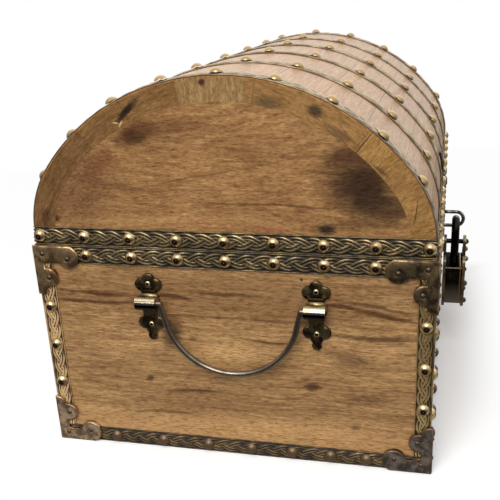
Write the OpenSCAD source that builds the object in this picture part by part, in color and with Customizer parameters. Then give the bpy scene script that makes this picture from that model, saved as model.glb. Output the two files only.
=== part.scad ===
// Barrel-topped wooden chest with braided metal strips, dome nails, end handles and a hanging lock.
// X runs along the chest, the lock side faces -Y, and Z is up from the middle of the underside.

/* [Chest] */
// Length over the end bands
chest_l = 416; // [330:1:600]
// Depth over the front and back bands
chest_w = 300; // [250:1:380]
// Height of the base, from its underside to the seam
base_h = 170; // [160:1:240]
// Open seam between the base and the lid
seam = 0.5; // [0.4:0.1:1.5]

/* [Boards] */
// Thickness of the base walls
wall_t = 10; // [9:0.5:16]
// Thickness of the floor panel
floor_t = 9; // [8:0.5:14]
// Thickness of the lid ends
lid_end_t = 10; // [9:0.5:16]
// Thickness of the lid staves
stave_t = 9; // [8:0.5:14]
// Number of staves over the lid
stave_count = 12; // [8:1:16]
// Width of the rim of blocks round each lid end
rim_w = 17; // [12:0.5:26]
// Open joint between neighbouring staves and rim blocks
joint_gap = 0.2; // [0.1:0.05:0.4]

/* [Arch] */
// Height of the straight skirt under the arch
skirt_h = 9.5; // [7:0.5:20]
// Rise of the arch above the skirt, over the straps
arch_rise = 115; // [100:1:140]
// Radius of the two shoulders, over the straps
shoulder_r = 80; // [64:1:90]

/* [Braided strips] */
// Thickness of every strip
strip_t = 2; // [1.5:0.1:3]
// Width of the band round the lid's lower edge
lid_band_w = 14; // [12:0.5:18]
// Width of the band round the base's upper edge
upper_band_w = 14; // [12:0.5:18]
// Width of the band round the base's foot
foot_band_w = 12.5; // [11:0.5:17]
// Width of each arm of a corner strip
corner_strip_w = 12.5; // [11:0.5:16]
// Width of the straps over the lid
strap_w = 13; // [11:0.5:16]
// How far the foot band and brackets stop above the underside
foot_lift = 0.5; // [0.2:0.1:2]
// Play between neighbouring metal pieces
fit_gap = 0.3; // [0.2:0.05:0.5]

/* [Dome nails] */
// Diameter of a dome head
nail_d = 9.5; // [8:0.5:11]
// Height of a dome head
nail_h = 3; // [2:0.1:4]
// Diameter of a nail's shank
shank_d = 2; // [1.4:0.1:2.6]
// Length of a nail's shank
shank_l = 7.5; // [5:0.5:8]
// Play round a shank in its hole
hole_gap = 0.15; // [0.1:0.05:0.3]
// Pitch of the nails along the bands
nail_pitch = 36; // [28:1:44]
// Pitch of the nails along the foot band on the ends
foot_nail_pitch = 34; // [28:1:40]
// How far the middle foot nails on the ends sit toward the front
foot_nail_drift = 12.5; // [0:0.5:14]
// Pitch of the nails over the straps
strap_nail_pitch = 40.5; // [30:0.5:48]
// Pitch of the nails up the corner strips
corner_nail_pitch = 33; // [26:1:40]
// Gap between a foot bracket and the corner nail above it, on the ends
corner_nail_gap = 9.2; // [8:0.1:12]
// How far the corner nails of the long sides sit lower, clear of the shanks from the ends
corner_nail_stagger = 6; // [4:0.5:7]

/* [Corner brackets] */
// Thickness of a bracket
bracket_t = 1.2; // [0.8:0.1:2]
// Length of a bracket's arm along the seam or the foot
bracket_arm = 35.5; // [30:0.5:42]
// Length of a bracket's leg along the corner
bracket_leg = 39.5; // [34:0.5:46]
// Radius of the lobe at the end of an arm
arm_lobe_r = 9; // [7:0.5:10]
// Radius of the lobe beside a leg
leg_lobe_r = 7.5; // [5:0.5:9]
// Distance of the lobe beside a leg from the seam or the foot
leg_lobe_at = 25.5; // [22:0.5:28]
// Width of a leg
leg_w = 7; // [5:0.5:9]

/* [Small pins] */
// Diameter of a small pin's head
pin_d = 4.4; // [3.4:0.1:5]
// Height of a small pin's head
pin_h = 1.3; // [0.8:0.1:2]
// Diameter of a small pin's shank
pin_shank_d = 1.6; // [1.2:0.1:2]
// Length of a small pin's shank
pin_shank_l = 6; // [4.5:0.5:6.5]

/* [End handles] */
// Distance between the two mounts of a handle
mount_span = 127; // [110:1:150]
// Height of the handle's pivot, counted from the base's top edge
pivot_z = -40.3; // [-50:0.1:-30]
// How far a handle sits toward the front of its end
handle_shift = 2.6; // [0:0.1:8]
// Distance of the pivot from the end board
pivot_out = 8; // [7:0.1:12]
// Height of the neck that carries a mount's barrel
neck_h = 7.2; // [6:0.1:8]
// Thickness of a mount's leaves
mount_t = 1.8; // [1.2:0.1:2]
// Outer diameter of a mount's barrel
barrel_d = 10.5; // [9:0.1:12]
// Length of a mount's barrel
barrel_l = 15.5; // [12:0.5:20]
// Radius of each petal of a mount
petal_r = 5; // [4:0.1:6]
// Height of the upper petals over the pivot
petals_up = 12.3; // [11:0.1:15]
// Depth of the lower petals under the pivot
petals_down = 18.7; // [15:0.1:22]
// Length of a mount's tail under its lower petals
tail_l = 14; // [10:0.5:16]
// Diameter of the bail's rod
bail_d = 4.3; // [3.5:0.1:5]
// Radius of the bail's curve
bail_r = 51; // [44:0.5:60]

/* [Hinges] */
// Width of a hinge
hinge_w = 40; // [30:1:46]
// Height of a hinge's base leaf
hinge_leaf_h = 27; // [22:1:40]
// Length of a hinge's lid leaf along the arch
hinge_lid_h = 24; // [20:1:36]
// Thickness of the hinge and hasp leaves
leaf_t = 2; // [1.6:0.1:2.4]
// Radius of a hinge's barrel
knuckle_r = 3.3; // [3:0.1:4]
// Radius of a hinge's pin
hinge_pin_r = 1.5; // [1.2:0.1:1.8]
// Play between a pin and its bore
pin_play = 0.1; // [0.05:0.05:0.2]

/* [Hasp and staple] */
// Width of the hasp plate on the lid
hasp_plate_w = 24; // [20:1:26]
// Length of the hasp plate along the arch
hasp_plate_h = 26; // [20:1:36]
// Width of the hasp's fork
fork_w = 16; // [14:0.5:16]
// Height of the fork's tips, counted from the base's top edge
fork_tip_z = -44.5; // [-46:0.5:-42]
// Thickness of the fork
fork_t = 1.6; // [1.2:0.1:2]
// Radius of the hasp's barrel
hasp_knuckle_r = 2.4; // [2.2:0.1:2.8]
// Radius of the hasp's pin
hasp_pin_r = 1; // [0.8:0.1:1.2]
// Height of the staple's middle, counted from the base's top edge
staple_z = -32.5; // [-34:0.5:-31]
// Radius of the staple's bow, to the middle of its wire
staple_r = 6.5; // [6.2:0.1:7]
// Diameter of the staple's wire
staple_d = 3.2; // [2.6:0.1:3.4]
// Distance of the bow's middle from the board
staple_out = 15.2; // [14.6:0.1:18]
// Width of the staple's plate
staple_plate_w = 12; // [10:0.5:13]
// Distance of the plate's pins from the staple's legs
staple_pin_gap = 6.5; // [6.5:0.5:8]

/* [Hanging lock] */
// Width of the lock's case
case_w = 42; // [38:1:50]
// Height of the lock's case
case_h = 43; // [40:1:50]
// Thickness of the lock's case
case_t = 15; // [13:0.5:15]
// Height of the case's top, counted from the base's top edge
case_top_z = -73; // [-76:0.5:-71]
// Thickness of the lock's two plates
lock_plate_t = 2.6; // [2:0.1:3]
// How far the plates stand out round the case
plate_lip = 2.5; // [1.5:0.1:4]
// Diameter of the shackle
shackle_d = 7; // [6:0.1:7.2]
// Distance between the shackle's legs
shackle_span = 24; // [23.5:0.5:28]
// Length of the straight piece at the shackle's crown, which turns in the staple
shackle_crown = 3; // [2:0.5:5]
// Depth of the shackle's legs in the case
shackle_depth = 15; // [12:0.5:18]
// Radius of the pin between the ears of the plates
spacer_r = 2.2; // [1.8:0.1:2.6]
// Height of that pin, counted from the base's top edge
spacer_z = -54.5; // [-58:0.5:-53]
// Diameter of a rivet head on the front plate
rivet_d = 5.4; // [4:0.1:6]
// Height of a rivet head
rivet_h = 2.6; // [2:0.1:3.2]
// Diameter of a rivet's shank
rivet_shank_d = 2.4; // [1.6:0.1:3]
// Radius of the ears round the spacer pin
ear_r = 6; // [4.5:0.1:7]
// Radius of the plates' two shoulders
lock_shoulder_r = 6.5; // [5:0.1:8]
// Radius of the keyhole's round part
keyhole_r = 3; // [2:0.1:3.5]
// Length of the keyhole's slot
keyhole_l = 9; // [7:0.5:12]

/* [Hidden] */
$fn = 64;

wood = "#a67a4c";
rim_wood = "#b58d58";
braid = "#8a7448";
bronze = "#4b4034";
nail_gold = "#b8934f";
steel = "#7b766e";
dark_iron = "#3a342d";

// Half sizes to the outside of the strips, and to the boards behind them
half_l = chest_l / 2;
half_w = chest_w / 2;
board_l = half_l - strip_t;
board_w = half_w - strip_t;

// The arch is an oval of three arcs: a crown between two shoulders
lid_z = base_h + seam;
spring_z = lid_z + skirt_h;
crown_r = (pow(half_w, 2) + pow(arch_rise, 2) - 2 * half_w * shoulder_r) / (2 * (arch_rise - shoulder_r));
shoulder_y = half_w - shoulder_r;
crown_drop = crown_r - arch_rise;
crown_angle = atan2(shoulder_y, crown_drop);
crown_len = crown_r * crown_angle * PI / 180;
arch_len = crown_len + shoulder_r * (90 - crown_angle) * PI / 180;
side_len = arch_len + skirt_h;

// Point on the arch at distance a from its top, toward +Y, and the tilt of its normal
function arch_tilt(a) = abs(a) <= crown_len ? a / crown_r * 180 / PI
  : sign(a) * min(90, crown_angle + (abs(a) - crown_len) / shoulder_r * 180 / PI);
function arch_y(a, inset) = abs(a) <= crown_len ? (crown_r - inset) * sin(arch_tilt(a))
  : sign(a) * (shoulder_y + (shoulder_r - inset) * sin(abs(arch_tilt(a))));
function arch_z(a, inset) = abs(a) <= crown_len
  ? spring_z - crown_drop + (crown_r - inset) * cos(arch_tilt(a))
  : spring_z + (shoulder_r - inset) * cos(arch_tilt(a)) - max(0, abs(a) - arch_len);
function arch_point(a, inset) = [arch_y(a, inset), arch_z(a, inset)];

// Six straps, evenly spaced with the outer two flush with the lid's ends
strap_count = 6;
strap_end_x = board_l - strap_w / 2;
strap_pitch = 2 * strap_end_x / (strap_count - 1);
strap_base_z = lid_z + lid_band_w + fit_gap;

// Where the rim blocks meet, as shares of the way from the top to the foot of each side
rim_joints = [-1.05, -0.34, -0.1, 0.13, 0.52, 1.05];

// Rows of nails. On the long sides they straddle the middle, where the hasp hangs
lid_nail_z = lid_z + lid_band_w / 2;
upper_nail_z = base_h - upper_band_w / 2;
foot_nail_z = foot_lift + foot_band_w / 2;
corner_nail_in = corner_strip_w / 2;
bracket_reach = bracket_arm + nail_d / 2 + 1;
hinge_x = strap_pitch;
hinge_clear = (hinge_w + nail_d) / 2 + 1;
function straddled(reach) = [for (x = [nail_pitch / 2 : nail_pitch : reach]) each [-x, x]];
function centred(reach, pitch) = [for (i = [-floor(reach / pitch) : floor(reach / pitch)]) i * pitch];
function off_hinges(xs) = [for (x = xs) if (abs(abs(x) - hinge_x) > hinge_clear) x];
lid_long_nails = straddled(half_l - nail_d / 2 - 3);
base_long_nails = straddled(half_l - bracket_reach);
lid_end_nails = centred(half_w - nail_d / 2 - 1, nail_pitch);
base_end_nails = centred(half_w - bracket_reach, nail_pitch);
foot_reach = half_w - bracket_reach - nail_d / 2 + 1;
foot_end_nails = [for (y = centred(foot_reach, foot_nail_pitch))
  y - foot_nail_drift * (1 - pow(y / foot_reach, 2))];
strap_reach = arch_len - lid_band_w - nail_d / 2;
strap_nails = centred(strap_reach, strap_nail_pitch);
corner_top_z = base_h - bracket_leg - nail_d / 2;
corner_nail_z = foot_lift + bracket_leg + nail_d / 2 + corner_nail_gap;
corner_end_nails = [for (z = [corner_nail_z : corner_nail_pitch : corner_top_z]) z];
corner_long_nails = [for (z = corner_end_nails) z - corner_nail_stagger];

// The hinge axis lies outside the back board, level with the seam
hinge_axis_y = board_w + knuckle_r + 0.2;
hinge_axis_z = base_h + seam / 2;
knuckle_l = (hinge_w - 2 * fit_gap) / 3;
leaf_top_z = base_h - knuckle_r - fit_gap;

// The handles, staple, fork and lock hang from the base's top edge
pivot_level = base_h + pivot_z;
staple_level = base_h + staple_z;
fork_tip_level = base_h + fork_tip_z;
case_top_level = base_h + case_top_z;
spacer_level = base_h + spacer_z;

// The hasp's axis lies on the lid, just above the seam
hasp_axis_y = board_w + hasp_knuckle_r + 0.8;
hasp_axis_z = lid_z + hasp_knuckle_r + fit_gap;
hasp_knuckle_l = fork_w / 3;
fork_back = half_w + fit_gap + 0.2;
staple_pin_out = staple_r + staple_pin_gap;
slot_w = max(staple_d, pin_d) + 2 * fit_gap;
slot_top_z = staple_level + staple_pin_out + pin_d / 2 + 2 * fit_gap;

// The lock hangs by its shackle in the staple's bow
lock_y = -(board_w + staple_out);
swing_z = staple_level - staple_r + staple_d / 2 + fit_gap + shackle_d / 2;
shackle_bend_r = (shackle_span - shackle_crown) / 2;
shackle_bend_z = swing_z - shackle_bend_r;
shackle_end_z = case_top_level - shackle_depth;
case_round_z = case_top_level - case_h + case_w / 2;
lock_shoulder_x = case_w / 3;
rivet_ring_r = case_w / 2 - plate_lip / 2;
rivet_spots = concat(
  [[0, spacer_level]],
  [for (side = [-1, 1]) [side * lock_shoulder_x, case_top_level + lock_shoulder_r]],
  [for (turn = [-40, 17]) for (side = [-1, 1])
    [side * rivet_ring_r * cos(turn), case_round_z + rivet_ring_r * sin(turn)]]
);

barrel_x = -(board_l + pivot_out);
left_handle_y = -handle_shift;

// The bail's curve starts a little under the pivot and stops short of a half circle at both ends
bail_drop = 3.2;
bail_open = 17;

// Solids along X from an outline in Y and Z
module along_x(length) {
  rotate([90, 0, 90]) linear_extrude(length, center = true) children();
}

// Outline of the lid, set in from the top of the straps and starting at height foot
module arch_area(inset, foot) {
  intersection() {
    translate([0, spring_z - crown_drop]) circle(crown_r - inset, $fn = 256);
    polygon([
      [0, spring_z - crown_drop],
      [3 * shoulder_y, spring_z + 2 * crown_drop],
      [3 * shoulder_y, spring_z + 3 * arch_rise],
      [-3 * shoulder_y, spring_z + 3 * arch_rise],
      [-3 * shoulder_y, spring_z + 2 * crown_drop]
    ]);
    translate([-chest_w, spring_z]) square([2 * chest_w, 2 * chest_w]);
  }
  for (side = [-1, 1]) intersection() {
    translate([side * shoulder_y, spring_z]) circle(shoulder_r - inset, $fn = 256);
    translate([-chest_w, spring_z]) square([2 * chest_w, chest_w]);
  }
  translate([inset - half_w, foot]) square([chest_w - 2 * inset, spring_z - foot]);
}

// Shell of the arch between two insets
module arch_ring(outer, inner) {
  difference() {
    arch_area(outer, lid_z);
    arch_area(inner, lid_z - 1);
  }
}

// Slice of the arch between two distances from its top, less the open joints at its sides
module arch_slice(from, to) {
  start = from + joint_gap / 2;
  run = to - from - joint_gap;
  polygon([
    for (i = [0 : 6]) arch_point(start + run * i / 6, -8),
    for (i = [6 : -1 : 0]) arch_point(start + run * i / 6, strip_t + rim_w + stave_t)
  ]);
}

// Places for things that point out of a face: the left end, the front and the arch
module on_left(y, z, out = half_l) {
  translate([-out, y, z]) rotate([0, -90, 0]) children();
}

module on_front(x, z, out = half_w) {
  translate([x, -out, z]) rotate([90, 0, 0]) children();
}

module on_arch(x, a, inset = 0) {
  translate([x, arch_y(a, inset), arch_z(a, inset)]) rotate([-arch_tilt(a), 0, 0]) children();
}

module both_ends() {
  children();
  mirror([1, 0, 0]) children();
}

module both_sides() {
  children();
  mirror([0, 1, 0]) children();
}

module mirrored(x, y) {
  mirror([x, 0, 0]) mirror([0, y, 0]) children();
}

// Round-headed nail with its head above the face and its shank below
module headed(head_d, head_h, stem_d, stem_l) {
  ball = (pow(head_d / 2, 2) + pow(head_h, 2)) / (2 * head_h);
  rotate_extrude() {
    intersection() {
      translate([0, head_h - ball]) circle(ball, $fn = 48);
      square([head_d / 2, head_h]);
    }
    translate([0, -stem_l]) square([stem_d / 2, stem_l]);
  }
}

module nail() {
  headed(nail_d, nail_h, shank_d, shank_l);
}

module nail_hole() {
  translate([0, 0, -shank_l - hole_gap]) cylinder(shank_l + 2, d = shank_d + 2 * hole_gap);
}

module pin() {
  headed(pin_d, pin_h, pin_shank_d, pin_shank_l);
}

module pin_hole() {
  translate([0, 0, -pin_shank_l - hole_gap]) cylinder(pin_shank_l + 2, d = pin_shank_d + 2 * hole_gap);
}

// Every nail of the base
module each_base_nail() {
  both_ends() {
    for (y = base_end_nails) on_left(y, upper_nail_z) children();
    for (y = foot_end_nails) on_left(y, foot_nail_z) children();
    for (z = corner_end_nails) both_sides() on_left(corner_nail_in - half_w, z) children();
    for (z = corner_long_nails) both_sides() on_front(corner_nail_in - half_l, z) children();
  }
  for (x = base_long_nails) on_front(x, upper_nail_z) children();
  for (x = off_hinges(base_long_nails)) mirror([0, 1, 0]) on_front(x, upper_nail_z) children();
  for (x = base_long_nails) both_sides() on_front(x, foot_nail_z) children();
}

// Every nail of the lid
module each_lid_nail() {
  both_ends() for (y = lid_end_nails) on_left(y, lid_nail_z) children();
  for (x = lid_long_nails) on_front(x, lid_nail_z) children();
  for (x = off_hinges(lid_long_nails)) mirror([0, 1, 0]) on_front(x, lid_nail_z) children();
  for (i = [0 : strap_count - 1]) for (a = strap_nails)
    on_arch(i * strap_pitch - strap_end_x, a) children();
}

// How much narrower a bracket's arm is than the band under it, and how far its lobe is cut off flat
top_arm_inset = 0.5;
foot_arm_inset = 2.5;
lobe_sink = 0.5;

// Places of the small pins: distance along the face from the corner, and from the seam or foot
bracket_pins = [
  [bracket_arm - arm_lobe_r, arm_lobe_r + 1],
  [leg_lobe_r + 2, leg_lobe_at],
  [leg_lobe_r - 1, leg_lobe_r - 1]
];
mount_pins = [petals_up + 1, -petals_down - 1];
pin_step = pin_d - 1.4;

// Rows of pins in the leaves of the hinges and the hasp, at their distance from the barrel
near_row = 7;
far_row = 17;

module each_corner_pin(out) {
  both_ends() both_sides() {
    for (p = bracket_pins) {
      on_left(p[0] - half_w, base_h - p[1], half_l + out) children();
      on_front(p[0] - half_l, base_h - p[1] - pin_step, half_w + out) children();
      on_left(p[0] - half_w, foot_lift + p[1], half_l + out) children();
      on_front(p[0] - half_l, foot_lift + p[1] + pin_step, half_w + out) children();
    }
  }
}

module each_mount_pin() {
  both_ends() for (side = [-1, 1]) for (h = mount_pins)
    on_left(left_handle_y + side * mount_span / 2, pivot_level + h, board_l + mount_t) children();
}

module each_base_hinge_pin() {
  for (side = [-1, 1]) for (dx = [-hinge_w / 3, 0, hinge_w / 3])
    mirror([0, 1, 0])
      on_front(side * hinge_x + dx, leaf_top_z - (dx == 0 ? far_row : near_row), board_w + leaf_t)
        children();
}

module each_staple_pin() {
  for (dz = [-1, 1]) on_front(0, staple_level + dz * staple_pin_out, board_w + leaf_t) children();
}

module each_base_pin() {
  each_corner_pin(bracket_t) children();
  each_mount_pin() children();
  each_base_hinge_pin() children();
  each_staple_pin() children();
}

// Pins of the hinge leaves and the hasp plate, at their distance from the top of the arch
leaf_foot_a = side_len - knuckle_r - fit_gap;
module each_lid_pin() {
  for (side = [-1, 1]) for (dx = [-hinge_w / 3, 0, hinge_w / 3])
    on_arch(side * hinge_x + dx, leaf_foot_a - (dx == 0 ? far_row : near_row), strip_t - leaf_t) children();
  for (dx = [-1, 1]) on_arch(dx * hasp_plate_w / 3, near_row - leaf_foot_a, strip_t - leaf_t) children();
  on_arch(0, far_row - leaf_foot_a, strip_t - leaf_t) children();
}

// Holes that the nails and small pins of the base need in what they pass through
module base_holes() {
  each_base_nail() nail_hole();
  each_base_pin() pin_hole();
}

module lid_holes() {
  each_lid_nail() nail_hole();
  each_lid_pin() pin_hole();
}

// Base: a floor panel under four walls, the long walls covering the ends of the short ones
module base_floor() {
  color(wood) difference() {
    translate([-board_l, -board_w, 0]) cube([2 * board_l, 2 * board_w, floor_t]);
    base_holes();
  }
}

module base_long_board() {
  difference() {
    translate([-board_l, -board_w, floor_t]) cube([2 * board_l, wall_t, base_h - floor_t]);
    base_holes();
    staple_legs(staple_d / 2 + fit_gap);
  }
}

module base_front_board() {
  color(wood) base_long_board();
}

module base_back_board() {
  color(wood) difference() {
    translate([-board_l, board_w - wall_t, floor_t]) cube([2 * board_l, wall_t, base_h - floor_t]);
    base_holes();
  }
}

module base_end_board() {
  difference() {
    translate([-board_l, wall_t - board_w, floor_t])
      cube([wall_t, 2 * (board_w - wall_t), base_h - floor_t]);
    base_holes();
  }
}

module base_left_board() {
  color(wood) base_end_board();
}

module base_right_board() {
  color(wood) mirror([1, 0, 0]) base_end_board();
}

// Closed band round the boards, from height z up
module band_ring(z, width) {
  difference() {
    translate([-half_l, -half_w, z]) cube([chest_l, chest_w, width]);
    translate([-board_l, -board_w, z - 1]) cube([2 * board_l, 2 * board_w, width + 2]);
  }
}

// Room for the hinge leaves in the bands at the back
module hinge_notches() {
  for (side = [-1, 1])
    translate([side * hinge_x - hinge_w / 2 - fit_gap, board_w - 1, base_h - 2 * hinge_leaf_h])
      cube([hinge_w + 2 * fit_gap, strip_t + 2, 4 * hinge_leaf_h]);
}

module upper_band() {
  color(braid) difference() {
    band_ring(base_h - upper_band_w, upper_band_w);
    hinge_notches();
    base_holes();
  }
}

module foot_band() {
  color(braid) difference() {
    band_ring(foot_lift, foot_band_w);
    base_holes();
  }
}

module lid_band() {
  color(braid) difference() {
    band_ring(lid_z, lid_band_w);
    hinge_notches();
    translate([-hasp_plate_w / 2 - fit_gap, -half_w - 1, lid_z - 1])
      cube([hasp_plate_w + 2 * fit_gap, strip_t + 2, lid_band_w + 2]);
    lid_holes();
  }
}

// Strip folded round a corner of the base, between the two bands
module corner_strip() {
  bottom = foot_lift + foot_band_w + fit_gap;
  height = base_h - upper_band_w - fit_gap - bottom;
  difference() {
    translate([-half_l, -half_w, bottom]) cube([corner_strip_w, corner_strip_w, height]);
    translate([-board_l, -board_w, bottom - 1]) cube([corner_strip_w, corner_strip_w, height + 2]);
    base_holes();
  }
}

module corner_strip_front_left() {
  color(braid) corner_strip();
}

module corner_strip_front_right() {
  color(braid) mirrored(1, 0) corner_strip();
}

module corner_strip_back_left() {
  color(braid) mirrored(0, 1) corner_strip();
}

module corner_strip_back_right() {
  color(braid) mirrored(1, 1) corner_strip();
}

// Half of a bracket, unfolded: x runs from the corner, y from the seam or the foot
module bracket_outline(arm_w) {
  square([bracket_arm - arm_lobe_r, arm_w]);
  translate([bracket_arm - arm_lobe_r, arm_lobe_r - lobe_sink]) circle(arm_lobe_r);
  square([leg_w, bracket_leg - leg_w]);
  translate([leg_lobe_r + 1, leg_lobe_at]) circle(leg_lobe_r);
  intersection() {
    translate([0, bracket_leg - leg_w]) circle(leg_w);
    translate([0, leg_lobe_at]) square([leg_w, bracket_leg]);
  }
}

// Keeps an unfolded outline above y = 0
module above_edge() {
  intersection() {
    children();
    translate([-1, 0]) square(2 * bracket_leg);
  }
}

// Bracket folded round a corner: a skin over the strips, and its lobes down on the boards
module folded_bracket(band_w) {
  module lobes() {
    difference() {
      above_edge() children();
      translate([-1, -1]) square([corner_strip_w + fit_gap + 1, 2 * bracket_leg]);
      translate([-1, -1]) square([2 * bracket_leg, band_w + fit_gap + 1]);
    }
  }
  translate([-half_l, -half_w, 0]) {
    translate([strip_t, 0, 0]) mirror([1, 0, 0]) rotate([90, 0, 90]) linear_extrude(strip_t + bracket_t)
      lobes() children();
    translate([0, strip_t, 0]) rotate([90, 0, 0]) linear_extrude(strip_t + bracket_t) lobes() children();
    mirror([1, 0, 0]) rotate([90, 0, 90]) linear_extrude(bracket_t) above_edge() children();
    rotate([90, 0, 0]) linear_extrude(bracket_t) above_edge() children();
    translate([-bracket_t, -bracket_t, 0]) cube([bracket_t, bracket_t, bracket_leg]);
  }
}

module top_bracket() {
  difference() {
    translate([0, 0, base_h]) mirror([0, 0, 1])
      folded_bracket(upper_band_w) bracket_outline(upper_band_w - top_arm_inset);
    base_holes();
  }
}

module foot_bracket() {
  difference() {
    translate([0, 0, foot_lift]) folded_bracket(foot_band_w) bracket_outline(foot_band_w - foot_arm_inset);
    base_holes();
  }
}

module top_bracket_front_left() {
  color(bronze) top_bracket();
}

module top_bracket_front_right() {
  color(bronze) mirrored(1, 0) top_bracket();
}

module top_bracket_back_left() {
  color(bronze) mirrored(0, 1) top_bracket();
}

module top_bracket_back_right() {
  color(bronze) mirrored(1, 1) top_bracket();
}

module foot_bracket_front_left() {
  color(bronze) foot_bracket();
}

module foot_bracket_front_right() {
  color(bronze) mirrored(1, 0) foot_bracket();
}

module foot_bracket_back_left() {
  color(bronze) mirrored(0, 1) foot_bracket();
}

module foot_bracket_back_right() {
  color(bronze) mirrored(1, 1) foot_bracket();
}

module base_nails() {
  color(nail_gold) each_base_nail() nail();
}

module base_pins() {
  color(nail_gold) each_base_pin() pin();
}

// Handle mount: two leaves on the end board with the bail's barrel between them
module mount_outline() {
  translate([-petal_r - 1, -petals_down + 2]) square([2 * petal_r + 2, petals_down + petals_up - 2]);
  for (side = [-1, 1]) {
    translate([side * (petal_r + 0.5), petals_up]) circle(petal_r);
    translate([side * (petal_r + 0.5), -petals_down]) circle(petal_r);
  }
  translate([0, petals_up + petal_r - 1]) circle(petal_r);
  translate([0, -petals_down - petal_r]) circle(0.9 * petal_r);
  translate([0, 0.7 * petal_r - petals_down - tail_l]) circle(0.7 * petal_r);
}

module handle_mount(side) {
  y = left_handle_y + side * mount_span / 2;
  color(dark_iron) difference() {
    union() {
      translate([-board_l, y, pivot_level]) mirror([1, 0, 0]) rotate([90, 0, 90])
        linear_extrude(mount_t) mount_outline();
      translate([barrel_x, y - barrel_l / 2, pivot_level - neck_h / 2]) cube([pivot_out, barrel_l, neck_h]);
      translate([barrel_x, y + barrel_l / 2, pivot_level]) rotate([90, 0, 0])
        cylinder(barrel_l, d = barrel_d);
    }
    translate([barrel_x, y + barrel_l, pivot_level]) rotate([90, 0, 0])
      cylinder(2 * barrel_l, d = bail_d + 2 * fit_gap);
    each_mount_pin() pin_hole();
  }
}

module left_mount_front() {
  handle_mount(-1);
}

module left_mount_back() {
  handle_mount(1);
}

module right_mount_front() {
  mirror([1, 0, 0]) handle_mount(-1);
}

module right_mount_back() {
  mirror([1, 0, 0]) handle_mount(1);
}

// Straight rod between two points in Y and Z
module rod(from, to) {
  run = to - from;
  translate([0, from[0], from[1]]) rotate([atan2(norm([run[0], 0]) * sign(-run[0]), run[1]), 0, 0])
    cylinder(norm(run), d = bail_d);
}

// Bail hanging from its two mounts
module bail() {
  elbow_y = mount_span / 2 - barrel_l / 2 - bail_d / 2 - fit_gap;
  end_y = bail_r * cos(bail_open);
  end_z = -bail_drop - bail_r * sin(bail_open);
  color(steel) translate([barrel_x, left_handle_y, pivot_level]) {
    translate([0, 0, -bail_drop]) rotate([90, 0, 90]) rotate([0, 0, 180 + bail_open])
      rotate_extrude(angle = 180 - 2 * bail_open, $fn = 128) translate([bail_r, 0]) circle(d = bail_d);
    for (side = [-1, 1]) {
      translate([0, side * end_y, end_z]) sphere(d = bail_d + 0.1);
      rod([side * end_y, end_z], [side * elbow_y, 0]);
      translate([0, side * elbow_y, 0]) sphere(d = bail_d + 0.1);
      translate([0, side * elbow_y, 0]) rotate([-side * 90, 0, 0])
        cylinder(barrel_l + bail_d / 2 + fit_gap - 1, d = bail_d);
    }
  }
}

module left_bail() {
  bail();
}

module right_bail() {
  mirror([1, 0, 0]) bail();
}

// Piece of barrel along X from x0, before it is bored
module knuckle(x0, length, y, z, outer_r) {
  translate([x0, y, z]) rotate([0, 90, 0]) cylinder(length, r = outer_r);
}

// Hinge: the base leaf has the two outer knuckles, the lid leaf the middle one
module base_hinge_leaf(x) {
  color(bronze) difference() {
    union() {
      translate([x - hinge_w / 2, board_w, leaf_top_z - hinge_leaf_h])
        cube([hinge_w, leaf_t, hinge_leaf_h]);
      for (x0 = [x - hinge_w / 2, x + hinge_w / 2 - knuckle_l]) {
        translate([x0, board_w, leaf_top_z - 1]) cube([knuckle_l, leaf_t, hinge_axis_z - leaf_top_z + 1]);
        knuckle(x0, knuckle_l, hinge_axis_y, hinge_axis_z, knuckle_r);
      }
    }
    translate([x - hinge_w, hinge_axis_y, hinge_axis_z]) rotate([0, 90, 0])
      cylinder(2 * hinge_w, r = hinge_pin_r + pin_play);
    each_base_hinge_pin() pin_hole();
  }
}

module lid_hinge_leaf(x) {
  bottom = hinge_axis_z + knuckle_r + fit_gap;
  color(bronze) difference() {
    union() {
      translate([x, 0, 0]) along_x(hinge_w) intersection() {
        arch_ring(strip_t - leaf_t, strip_t);
        translate([0, bottom]) square([chest_w, hinge_lid_h]);
      }
      translate([x - knuckle_l / 2, board_w, hinge_axis_z])
        cube([knuckle_l, leaf_t, knuckle_r + fit_gap + 1]);
      knuckle(x - knuckle_l / 2, knuckle_l, hinge_axis_y, hinge_axis_z, knuckle_r);
    }
    translate([x - hinge_w, hinge_axis_y, hinge_axis_z]) rotate([0, 90, 0])
      cylinder(2 * hinge_w, r = hinge_pin_r + pin_play);
    lid_holes();
  }
}

module hinge_pin(x) {
  color(steel) translate([x - hinge_w / 2, hinge_axis_y, hinge_axis_z]) rotate([0, 90, 0])
    cylinder(hinge_w, r = hinge_pin_r);
}

module base_hinge_leaf_left() {
  base_hinge_leaf(-hinge_x);
}

module base_hinge_leaf_right() {
  base_hinge_leaf(hinge_x);
}

module lid_hinge_leaf_left() {
  lid_hinge_leaf(-hinge_x);
}

module lid_hinge_leaf_right() {
  lid_hinge_leaf(hinge_x);
}

module hinge_pin_left() {
  hinge_pin(-hinge_x);
}

module hinge_pin_right() {
  hinge_pin(hinge_x);
}

// Staple: a wire bow whose legs pass through its plate and the front board
module staple_legs(r) {
  for (side = [-1, 1])
    translate([0, lock_y, staple_level + side * staple_r]) rotate([-90, 0, 0])
      cylinder(staple_out + wall_t, r = r);
}

module staple() {
  color(steel) {
    staple_legs(staple_d / 2);
    translate([0, lock_y, staple_level]) rotate([0, 90, 0]) rotate([0, 0, 180])
      rotate_extrude(angle = 180) translate([staple_r, 0]) circle(d = staple_d);
  }
}

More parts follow.
